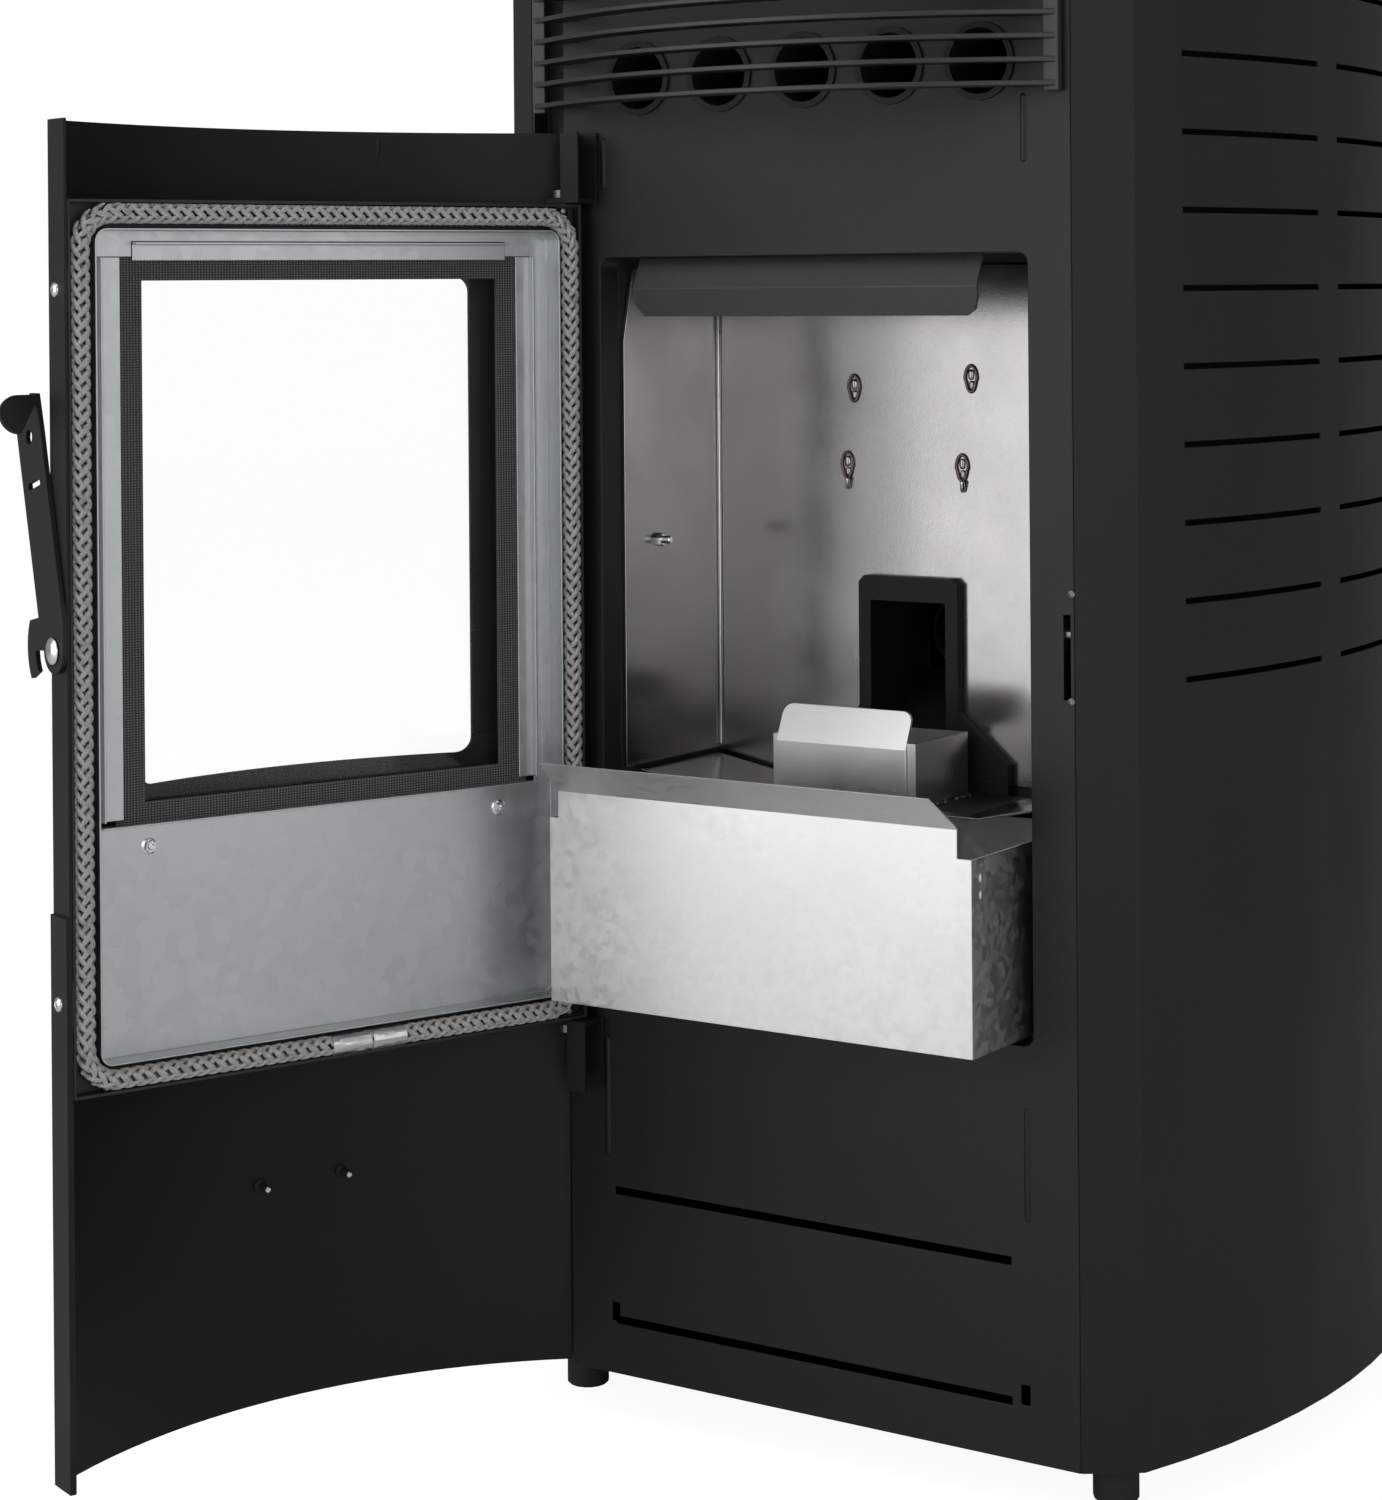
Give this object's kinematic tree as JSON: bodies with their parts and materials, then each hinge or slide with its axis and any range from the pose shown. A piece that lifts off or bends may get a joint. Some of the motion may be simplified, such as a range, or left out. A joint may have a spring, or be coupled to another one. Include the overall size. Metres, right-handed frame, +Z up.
{
  "type": "pellet stove",
  "caption": "Free-standing pellet stove with an open glazed door on a side hinge, a pulled-out ash drawer, a bowed casing with slotted sides and a slatted warm-air grille.",
  "frame": {"origin": "on the floor, under the middle of the whole object at rest, with its door open", "axes": "+Z up, +Y towards the back, +X to the right seen from the front"},
  "size_m": [0.6062, 0.8914, 1.0336],
  "materials": {
    "black_paint": "satin",
    "grille_paint": "satin",
    "black_steel": "matte",
    "zinc": "satin",
    "stainless": "brushed",
    "bright_steel": "polished",
    "rope": "woven",
    "gasket": "woven",
    "glass": "polished",
    "foot_rubber": "matte",
    "black_plastic": "matte"
  },
  "bodies": {
    "body": {"base_plate": "black_paint", "foot_left_front": "foot_rubber", "foot_left_rear": "foot_rubber", "foot_right_front": "foot_rubber", "foot_right_rear": "foot_rubber", "front_plate": "black_paint", "side_panel_left": "black_paint", "side_panel_right": "black_paint", "rear_panel": "black_paint", "power_inlet": "black_plastic", "front_grille": "grille_paint", "heat_tube_1": "black_steel", "heat_tube_2": "black_steel", "heat_tube_3": "black_steel", "heat_tube_4": "black_steel", "heat_tube_5": "black_steel", "firebox_shell": "black_steel", "firebox_liner_left": "stainless", "firebox_liner_right": "stainless", "firebox_liner_back": "stainless", "flame_baffle": "black_steel", "firebox_floor": "stainless", "igniter": "bright_steel", "chute_frame": "black_steel", "hinge_bracket_upper": "black_paint", "hinge_bracket_lower": "black_paint", "hinge_pin_upper": "bright_steel", "hinge_pin_lower": "bright_steel", "latch_strike": "bright_steel", "top_cover": "black_paint", "control_panel": "black_plastic", "pellet_hopper": "zinc", "auger_tube": "black_steel", "auger_gearmotor": "black_steel", "exhaust_fan_housing": "black_steel", "flue_outlet": "black_steel", "air_intake_pipe": "black_steel", "room_fan_housing": "zinc", "smoke_chamber": "black_steel"},
    "door": {"door_shell": "black_paint", "door_inner_frame": "black_steel", "door_tray": "zinc", "door_glass": "glass", "glass_gasket": "gasket", "glass_retainer_left": "zinc", "glass_retainer_right": "zinc", "glass_retainer_top": "zinc", "door_rope_seal": "rope", "latch_pivot_screw": "bright_steel"},
    "lever": {"latch_lever": "black_paint"},
    "drawer": {"ash_drawer": "zinc"},
    "lid": {"hopper_lid": "black_paint"},
    "pot": {"burner_pot": "stainless"},
    "auger": {"auger_screw": "stainless"},
    "exhaust_wheel": {"exhaust_fan_wheel": "stainless"},
    "room_drum": {"room_fan_drum": "stainless"},
    "button_a": {"button_1": "black_plastic"},
    "button_b": {"button_2": "black_plastic"},
    "button_c": {"button_3": "black_plastic"},
    "rocker": {"rear_switch": "black_plastic"}
  },
  "joints": [
    {"name": "door_hinge", "type": "hinge", "parent": "body", "child": "door", "pos_m": [-0.12786, -0.09828, 0.43], "axis": [0, 0, 1], "range_deg": [-4, 111.1]},
    {"name": "ash_drawer_slide", "type": "slide", "parent": "body", "child": "drawer", "axis": [0, 1, 0], "range_m": [-0.004, 0.093]},
    {"name": "latch_lever_turn", "type": "hinge", "parent": "door", "child": "lever", "pos_m": [-0.25494, -0.42761, 0.522], "axis": [-0.36, -0.933, 0], "range_deg": [0, 160]},
    {"name": "hopper_lid_hinge", "type": "hinge", "parent": "body", "child": "lid", "pos_m": [0.03514, 0.38272, 1.0249], "axis": [-1, 0, 0], "range_deg": [0, 75]},
    {"name": "burner_pot_lift", "type": "slide", "parent": "body", "child": "pot", "axis": [0, 0, 1], "range_m": [0, 0.06]},
    {"name": "auger_turn", "type": "hinge", "parent": "body", "child": "auger", "pos_m": [0.04614, 0.21572, 0.498], "axis": [0, 1, 0], "continuous": true},
    {"name": "exhaust_wheel_turn", "type": "hinge", "parent": "body", "child": "exhaust_wheel", "pos_m": [0.15514, 0.12572, 0.19], "axis": [0, 1, 0], "continuous": true},
    {"name": "room_drum_turn", "type": "hinge", "parent": "body", "child": "room_drum", "pos_m": [0, 0.18687, 0.866], "axis": [1, 0, 0], "continuous": true},
    {"name": "button_1_press", "type": "slide", "parent": "body", "child": "button_a", "axis": [0, 0, -1], "range_m": [0, 0.0015], "stiffness_N_per_m": 400},
    {"name": "button_2_press", "type": "slide", "parent": "body", "child": "button_b", "axis": [0, 0, -1], "range_m": [0, 0.0015], "stiffness_N_per_m": 400},
    {"name": "button_3_press", "type": "slide", "parent": "body", "child": "button_c", "axis": [0, 0, -1], "range_m": [0, 0.0015], "stiffness_N_per_m": 400},
    {"name": "rear_switch_rock", "type": "hinge", "parent": "body", "child": "rocker", "pos_m": [-0.08436, 0.39472, 0.085], "axis": [1, 0, 0], "range_deg": [-6, 6]}
  ],
  "couplings": [
    {"joint": "ash_drawer_slide", "follows": "door_hinge", "m_per_rad": 0.04795}
  ]
}
